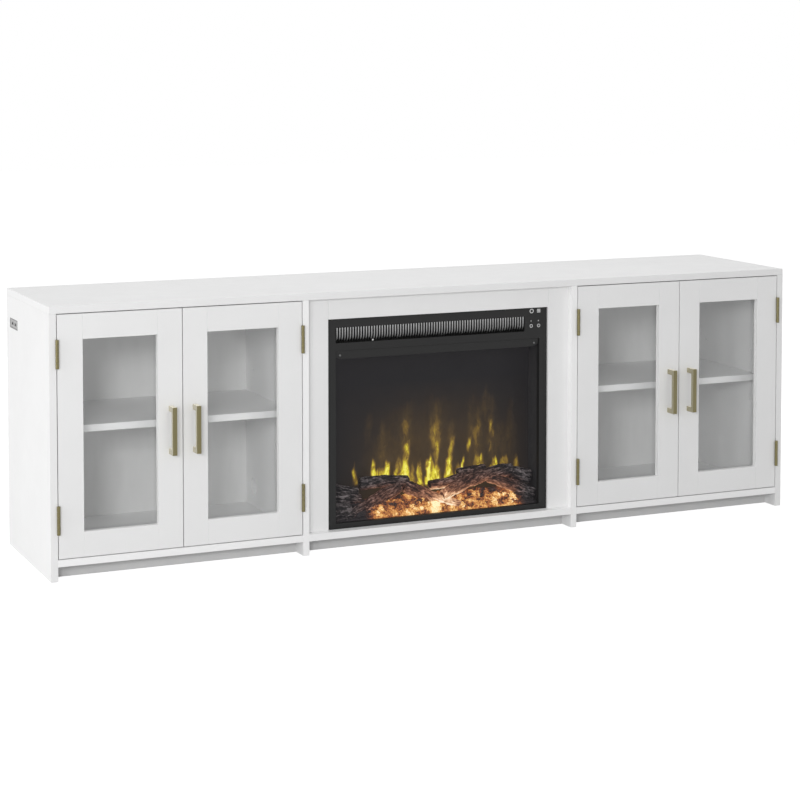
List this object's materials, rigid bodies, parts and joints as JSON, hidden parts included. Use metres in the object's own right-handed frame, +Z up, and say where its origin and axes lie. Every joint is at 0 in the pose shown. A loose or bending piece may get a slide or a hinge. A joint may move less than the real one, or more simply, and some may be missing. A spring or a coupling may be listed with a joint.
{
  "type": "fireplace tv stand",
  "caption": "Long white media cabinet with glazed, hinged end doors, bar pulls, inner shelves and an electric fire insert in its middle bay.",
  "frame": {"origin": "on the floor, under the middle of the whole object's box", "axes": "+X to the viewer's right along the front, +Y from the front to the back, +Z up"},
  "size_m": [1.892, 0.42, 0.606],
  "materials": {
    "white_board": "smooth satin white faced board",
    "back_board": "thin matt white backing board",
    "clear_glass": "clear, polished",
    "dark_glass": "smoked, polished",
    "brass": "satin antique gold plating",
    "black_metal": "satin black enamel",
    "fin_metal": "satin dark grey enamel",
    "zinc_sheet": "plain zinc coated sheet",
    "grey_plastic": "fine grained",
    "black_plastic": "fine grained",
    "circuit_board": "varnished laminate",
    "flame_screen": "frosted dark translucent sheet",
    "log_resin": "moulded charred bark",
    "ember_resin": "moulded glowing embers",
    "mirror_foil": "crinkled bright foil"
  },
  "bodies": {
    "root": {"top_panel": "white_board", "left_side_panel": "white_board", "right_side_panel": "white_board", "left_divider": "white_board", "right_divider": "white_board", "left_shelf": "white_board", "right_shelf": "white_board", "surround_left_stile": "white_board", "surround_right_stile": "white_board", "surround_top_rail": "white_board", "left_bottom_panel": "white_board", "left_kick_plate": "white_board", "centre_bottom_panel": "white_board", "centre_kick_plate": "white_board", "right_bottom_panel": "white_board", "right_kick_plate": "white_board", "back_panel": "back_board", "charging_plate": "grey_plastic", "left_outer_lower_cabinet_leaf": "brass", "left_outer_upper_cabinet_leaf": "brass", "left_inner_lower_cabinet_leaf": "brass", "left_inner_upper_cabinet_leaf": "brass", "right_inner_lower_cabinet_leaf": "brass", "right_inner_upper_cabinet_leaf": "brass", "right_outer_lower_cabinet_leaf": "brass", "right_outer_upper_cabinet_leaf": "brass", "insert_front_frame": "black_metal", "deflector_lip": "black_metal", "louvre_grille": "fin_metal", "insert_housing": "black_metal", "heater_duct": "zinc_sheet", "fire_glass": "dark_glass", "flame_screen": "flame_screen", "control_board": "circuit_board", "ember_bed": "ember_resin", "log_set": "log_resin", "rotor_motor": "grey_plastic", "cord_gland": "black_plastic"},
    "left_outer_door": {"left_outer_door_frame": "white_board", "left_outer_door_glass": "clear_glass", "left_outer_pull": "brass", "left_outer_lower_door_leaf": "brass", "left_outer_upper_door_leaf": "brass"},
    "left_inner_door": {"left_inner_door_frame": "white_board", "left_inner_door_glass": "clear_glass", "left_inner_pull": "brass", "left_inner_lower_door_leaf": "brass", "left_inner_upper_door_leaf": "brass"},
    "right_inner_door": {"right_inner_door_frame": "white_board", "right_inner_door_glass": "clear_glass", "right_inner_pull": "brass", "right_inner_lower_door_leaf": "brass", "right_inner_upper_door_leaf": "brass"},
    "right_outer_door": {"right_outer_door_frame": "white_board", "right_outer_door_glass": "clear_glass", "right_outer_pull": "brass", "right_outer_lower_door_leaf": "brass", "right_outer_upper_door_leaf": "brass"},
    "blower_wheel_body": {"blower_wheel": "zinc_sheet"},
    "flame_rotor_body": {"flame_rotor": "mirror_foil"}
  },
  "joints": [
    {"name": "left_outer_door_hinge", "type": "hinge", "parent": "root", "child": "left_outer_door", "pos_m": [-0.929, -0.1843, 0.31925], "axis": [0, 0, -1], "range_deg": [0, 110]},
    {"name": "left_inner_door_hinge", "type": "hinge", "parent": "root", "child": "left_inner_door", "pos_m": [-0.357, -0.1843, 0.31925], "axis": [0, 0, 1], "range_deg": [0, 110]},
    {"name": "right_inner_door_hinge", "type": "hinge", "parent": "root", "child": "right_inner_door", "pos_m": [0.357, -0.1843, 0.31925], "axis": [0, 0, -1], "range_deg": [0, 110]},
    {"name": "right_outer_door_hinge", "type": "hinge", "parent": "root", "child": "right_outer_door", "pos_m": [0.929, -0.1843, 0.31925], "axis": [0, 0, 1], "range_deg": [0, 110]},
    {"name": "flame_rotor_spin", "type": "hinge", "parent": "root", "child": "flame_rotor_body", "pos_m": [0, -0.028, 0.1045], "axis": [1, 0, 0], "continuous": true},
    {"name": "blower_wheel_spin", "type": "hinge", "parent": "root", "child": "blower_wheel_body", "pos_m": [0, -0.1057, 0.504], "axis": [1, 0, 0], "continuous": true}
  ]
}
